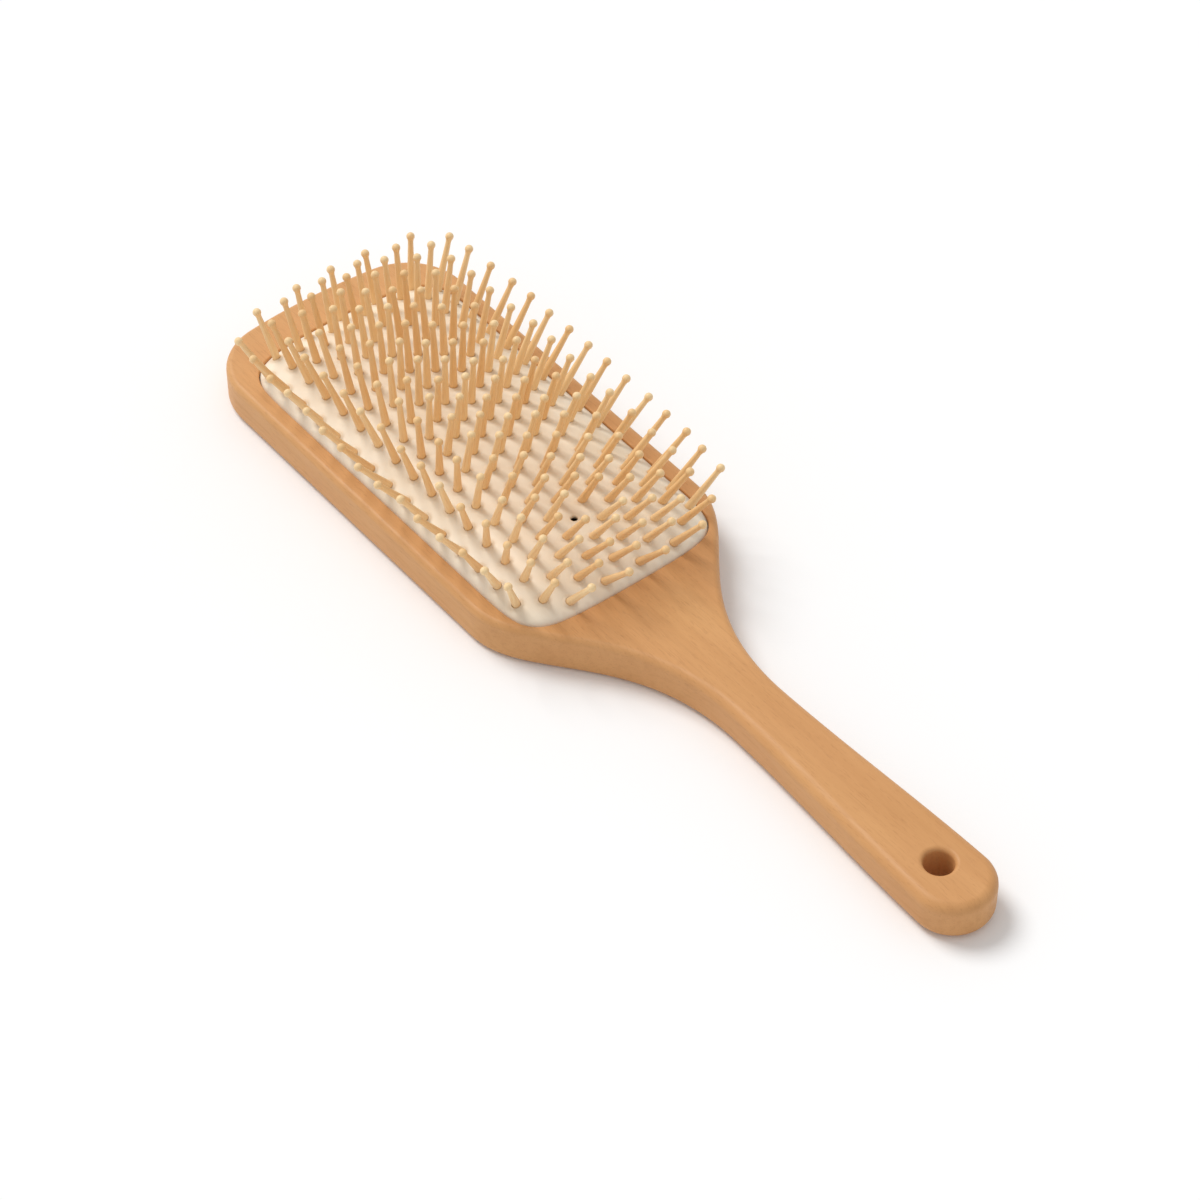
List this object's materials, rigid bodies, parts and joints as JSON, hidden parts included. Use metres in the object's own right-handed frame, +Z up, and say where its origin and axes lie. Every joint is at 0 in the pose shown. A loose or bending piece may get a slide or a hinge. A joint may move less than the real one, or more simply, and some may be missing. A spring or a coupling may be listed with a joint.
{
  "type": "paddle hair brush",
  "caption": "Paddle hair brush: a one-piece wooden head and handle, a domed rubber cushion and rows of ball-tipped wooden pins that tilt on it.",
  "frame": {"origin": "on the flat back face, midway along and across the brush", "axes": "+X from the toe of the head towards the end of the handle, +Y across the head, +Z up the pins from the back face"},
  "size_m": [0.25, 0.0698, 0.031],
  "materials": {
    "body_wood": "satin",
    "cushion_rubber": "matte",
    "pin_wood": "satin"
  },
  "bodies": {
    "brush": {"wooden_body": "body_wood"},
    "cushion": {"cushion": "cushion_rubber"},
    "pins_row_01_toe": {"pins_row_01_toe": "pin_wood"},
    "pins_row_01_mid": {"pins_row_01_mid": "pin_wood"},
    "pins_row_01_heel": {"pins_row_01_heel": "pin_wood"},
    "pins_row_02_toe": {"pins_row_02_toe": "pin_wood"},
    "pins_row_02_mid": {"pins_row_02_mid": "pin_wood"},
    "pins_row_02_heel": {"pins_row_02_heel": "pin_wood"},
    "pins_row_03_toe": {"pins_row_03_toe": "pin_wood"},
    "pins_row_03_mid": {"pins_row_03_mid": "pin_wood"},
    "pins_row_03_heel": {"pins_row_03_heel": "pin_wood"},
    "pins_row_04_toe": {"pins_row_04_toe": "pin_wood"},
    "pins_row_04_mid": {"pins_row_04_mid": "pin_wood"},
    "pins_row_04_heel": {"pins_row_04_heel": "pin_wood"},
    "pins_row_05_toe": {"pins_row_05_toe": "pin_wood"},
    "pins_row_05_mid": {"pins_row_05_mid": "pin_wood"},
    "pins_row_05_heel": {"pins_row_05_heel": "pin_wood"},
    "pins_row_06_toe": {"pins_row_06_toe": "pin_wood"},
    "pins_row_06_mid": {"pins_row_06_mid": "pin_wood"},
    "pins_row_06_heel": {"pins_row_06_heel": "pin_wood"},
    "pins_row_07_toe": {"pins_row_07_toe": "pin_wood"},
    "pins_row_07_mid": {"pins_row_07_mid": "pin_wood"},
    "pins_row_07_heel": {"pins_row_07_heel": "pin_wood"},
    "pins_row_08_toe": {"pins_row_08_toe": "pin_wood"},
    "pins_row_08_mid": {"pins_row_08_mid": "pin_wood"},
    "pins_row_08_heel": {"pins_row_08_heel": "pin_wood"},
    "pins_row_09_toe": {"pins_row_09_toe": "pin_wood"},
    "pins_row_09_mid": {"pins_row_09_mid": "pin_wood"},
    "pins_row_09_heel": {"pins_row_09_heel": "pin_wood"},
    "pins_row_10_toe": {"pins_row_10_toe": "pin_wood"},
    "pins_row_10_mid": {"pins_row_10_mid": "pin_wood"},
    "pins_row_10_heel": {"pins_row_10_heel": "pin_wood"},
    "pins_row_11_toe": {"pins_row_11_toe": "pin_wood"},
    "pins_row_11_mid": {"pins_row_11_mid": "pin_wood"},
    "pins_row_11_heel": {"pins_row_11_heel": "pin_wood"}
  },
  "joints": [
    {"name": "cushion_press", "type": "slide", "parent": "brush", "child": "cushion", "axis": [0, 0, 1], "range_m": [-0.002, 0], "stiffness_N_per_m": 3300, "deforming": ["cushion"]},
    {"name": "pins_row_01_toe_tilt", "type": "hinge", "parent": "cushion", "child": "pins_row_01_toe", "pos_m": [-0.0911, -0.0255, 0.0119], "axis": [1, 0, 0], "range_deg": [-8, 8], "stiffness_Nm_per_rad": 0.15},
    {"name": "pins_row_01_mid_tilt", "type": "hinge", "parent": "cushion", "child": "pins_row_01_mid", "pos_m": [-0.0522, -0.0255, 0.0121], "axis": [1, 0, 0], "range_deg": [-8, 8], "stiffness_Nm_per_rad": 0.18},
    {"name": "pins_row_01_heel_tilt", "type": "hinge", "parent": "cushion", "child": "pins_row_01_heel", "pos_m": [-0.0169, -0.0255, 0.012], "axis": [1, 0, 0], "range_deg": [-8, 8], "stiffness_Nm_per_rad": 0.12},
    {"name": "pins_row_02_toe_tilt", "type": "hinge", "parent": "cushion", "child": "pins_row_02_toe", "pos_m": [-0.0953, -0.0204, 0.0134], "axis": [1, 0, 0], "range_deg": [-8, 8], "stiffness_Nm_per_rad": 0.15},
    {"name": "pins_row_02_mid_tilt", "type": "hinge", "parent": "cushion", "child": "pins_row_02_mid", "pos_m": [-0.0561, -0.0204, 0.014], "axis": [1, 0, 0], "range_deg": [-8, 8], "stiffness_Nm_per_rad": 0.18},
    {"name": "pins_row_02_heel_tilt", "type": "hinge", "parent": "cushion", "child": "pins_row_02_heel", "pos_m": [-0.017, -0.0204, 0.0138], "axis": [1, 0, 0], "range_deg": [-8, 8], "stiffness_Nm_per_rad": 0.15},
    {"name": "pins_row_03_toe_tilt", "type": "hinge", "parent": "cushion", "child": "pins_row_03_toe", "pos_m": [-0.0922, -0.0153, 0.0146], "axis": [1, 0, 0], "range_deg": [-8, 8], "stiffness_Nm_per_rad": 0.15},
    {"name": "pins_row_03_mid_tilt", "type": "hinge", "parent": "cushion", "child": "pins_row_03_mid", "pos_m": [-0.0529, -0.0153, 0.015], "axis": [1, 0, 0], "range_deg": [-8, 8], "stiffness_Nm_per_rad": 0.18},
    {"name": "pins_row_03_heel_tilt", "type": "hinge", "parent": "cushion", "child": "pins_row_03_heel", "pos_m": [-0.0135, -0.0153, 0.0142], "axis": [1, 0, 0], "range_deg": [-8, 8], "stiffness_Nm_per_rad": 0.15},
    {"name": "pins_row_04_toe_tilt", "type": "hinge", "parent": "cushion", "child": "pins_row_04_toe", "pos_m": [-0.0961, -0.0102, 0.0144], "axis": [1, 0, 0], "range_deg": [-8, 8], "stiffness_Nm_per_rad": 0.15},
    {"name": "pins_row_04_mid_tilt", "type": "hinge", "parent": "cushion", "child": "pins_row_04_mid", "pos_m": [-0.0566, -0.0102, 0.0153], "axis": [1, 0, 0], "range_deg": [-8, 8], "stiffness_Nm_per_rad": 0.18},
    {"name": "pins_row_04_heel_tilt", "type": "hinge", "parent": "cushion", "child": "pins_row_04_heel", "pos_m": [-0.0171, -0.0102, 0.0149], "axis": [1, 0, 0], "range_deg": [-8, 8], "stiffness_Nm_per_rad": 0.15},
    {"name": "pins_row_05_toe_tilt", "type": "hinge", "parent": "cushion", "child": "pins_row_05_toe", "pos_m": [-0.0927, -0.0051, 0.0149], "axis": [1, 0, 0], "range_deg": [-8, 8], "stiffness_Nm_per_rad": 0.15},
    {"name": "pins_row_05_mid_tilt", "type": "hinge", "parent": "cushion", "child": "pins_row_05_mid", "pos_m": [-0.0532, -0.0051, 0.0154], "axis": [1, 0, 0], "range_deg": [-8, 8], "stiffness_Nm_per_rad": 0.18},
    {"name": "pins_row_05_heel_tilt", "type": "hinge", "parent": "cushion", "child": "pins_row_05_heel", "pos_m": [-0.0136, -0.0051, 0.0145], "axis": [1, 0, 0], "range_deg": [-8, 8], "stiffness_Nm_per_rad": 0.15},
    {"name": "pins_row_06_toe_tilt", "type": "hinge", "parent": "cushion", "child": "pins_row_06_toe", "pos_m": [-0.0964, 0, 0.0144], "axis": [1, 0, 0], "range_deg": [-8, 8], "stiffness_Nm_per_rad": 0.15},
    {"name": "pins_row_06_mid_tilt", "type": "hinge", "parent": "cushion", "child": "pins_row_06_mid", "pos_m": [-0.0568, 0, 0.0154], "axis": [1, 0, 0], "range_deg": [-8, 8], "stiffness_Nm_per_rad": 0.18},
    {"name": "pins_row_06_heel_tilt", "type": "hinge", "parent": "cushion", "child": "pins_row_06_heel", "pos_m": [-0.0172, 0, 0.0148], "axis": [1, 0, 0], "range_deg": [-8, 8], "stiffness_Nm_per_rad": 0.12},
    {"name": "pins_row_07_toe_tilt", "type": "hinge", "parent": "cushion", "child": "pins_row_07_toe", "pos_m": [-0.0927, 0.0051, 0.0149], "axis": [1, 0, 0], "range_deg": [-8, 8], "stiffness_Nm_per_rad": 0.15},
    {"name": "pins_row_07_mid_tilt", "type": "hinge", "parent": "cushion", "child": "pins_row_07_mid", "pos_m": [-0.0532, 0.0051, 0.0154], "axis": [1, 0, 0], "range_deg": [-8, 8], "stiffness_Nm_per_rad": 0.18},
    {"name": "pins_row_07_heel_tilt", "type": "hinge", "parent": "cushion", "child": "pins_row_07_heel", "pos_m": [-0.0136, 0.0051, 0.0145], "axis": [1, 0, 0], "range_deg": [-8, 8], "stiffness_Nm_per_rad": 0.15},
    {"name": "pins_row_08_toe_tilt", "type": "hinge", "parent": "cushion", "child": "pins_row_08_toe", "pos_m": [-0.0961, 0.0102, 0.0144], "axis": [1, 0, 0], "range_deg": [-8, 8], "stiffness_Nm_per_rad": 0.15},
    {"name": "pins_row_08_mid_tilt", "type": "hinge", "parent": "cushion", "child": "pins_row_08_mid", "pos_m": [-0.0566, 0.0102, 0.0153], "axis": [1, 0, 0], "range_deg": [-8, 8], "stiffness_Nm_per_rad": 0.18},
    {"name": "pins_row_08_heel_tilt", "type": "hinge", "parent": "cushion", "child": "pins_row_08_heel", "pos_m": [-0.0171, 0.0102, 0.0149], "axis": [1, 0, 0], "range_deg": [-8, 8], "stiffness_Nm_per_rad": 0.15},
    {"name": "pins_row_09_toe_tilt", "type": "hinge", "parent": "cushion", "child": "pins_row_09_toe", "pos_m": [-0.0922, 0.0153, 0.0146], "axis": [1, 0, 0], "range_deg": [-8, 8], "stiffness_Nm_per_rad": 0.15},
    {"name": "pins_row_09_mid_tilt", "type": "hinge", "parent": "cushion", "child": "pins_row_09_mid", "pos_m": [-0.0529, 0.0153, 0.015], "axis": [1, 0, 0], "range_deg": [-8, 8], "stiffness_Nm_per_rad": 0.18},
    {"name": "pins_row_09_heel_tilt", "type": "hinge", "parent": "cushion", "child": "pins_row_09_heel", "pos_m": [-0.0135, 0.0153, 0.0142], "axis": [1, 0, 0], "range_deg": [-8, 8], "stiffness_Nm_per_rad": 0.15},
    {"name": "pins_row_10_toe_tilt", "type": "hinge", "parent": "cushion", "child": "pins_row_10_toe", "pos_m": [-0.0953, 0.0204, 0.0134], "axis": [1, 0, 0], "range_deg": [-8, 8], "stiffness_Nm_per_rad": 0.15},
    {"name": "pins_row_10_mid_tilt", "type": "hinge", "parent": "cushion", "child": "pins_row_10_mid", "pos_m": [-0.0561, 0.0204, 0.014], "axis": [1, 0, 0], "range_deg": [-8, 8], "stiffness_Nm_per_rad": 0.18},
    {"name": "pins_row_10_heel_tilt", "type": "hinge", "parent": "cushion", "child": "pins_row_10_heel", "pos_m": [-0.017, 0.0204, 0.0138], "axis": [1, 0, 0], "range_deg": [-8, 8], "stiffness_Nm_per_rad": 0.15},
    {"name": "pins_row_11_toe_tilt", "type": "hinge", "parent": "cushion", "child": "pins_row_11_toe", "pos_m": [-0.0911, 0.0255, 0.0119], "axis": [1, 0, 0], "range_deg": [-8, 8], "stiffness_Nm_per_rad": 0.15},
    {"name": "pins_row_11_mid_tilt", "type": "hinge", "parent": "cushion", "child": "pins_row_11_mid", "pos_m": [-0.0522, 0.0255, 0.0121], "axis": [1, 0, 0], "range_deg": [-8, 8], "stiffness_Nm_per_rad": 0.18},
    {"name": "pins_row_11_heel_tilt", "type": "hinge", "parent": "cushion", "child": "pins_row_11_heel", "pos_m": [-0.0169, 0.0255, 0.012], "axis": [1, 0, 0], "range_deg": [-8, 8], "stiffness_Nm_per_rad": 0.12}
  ]
}
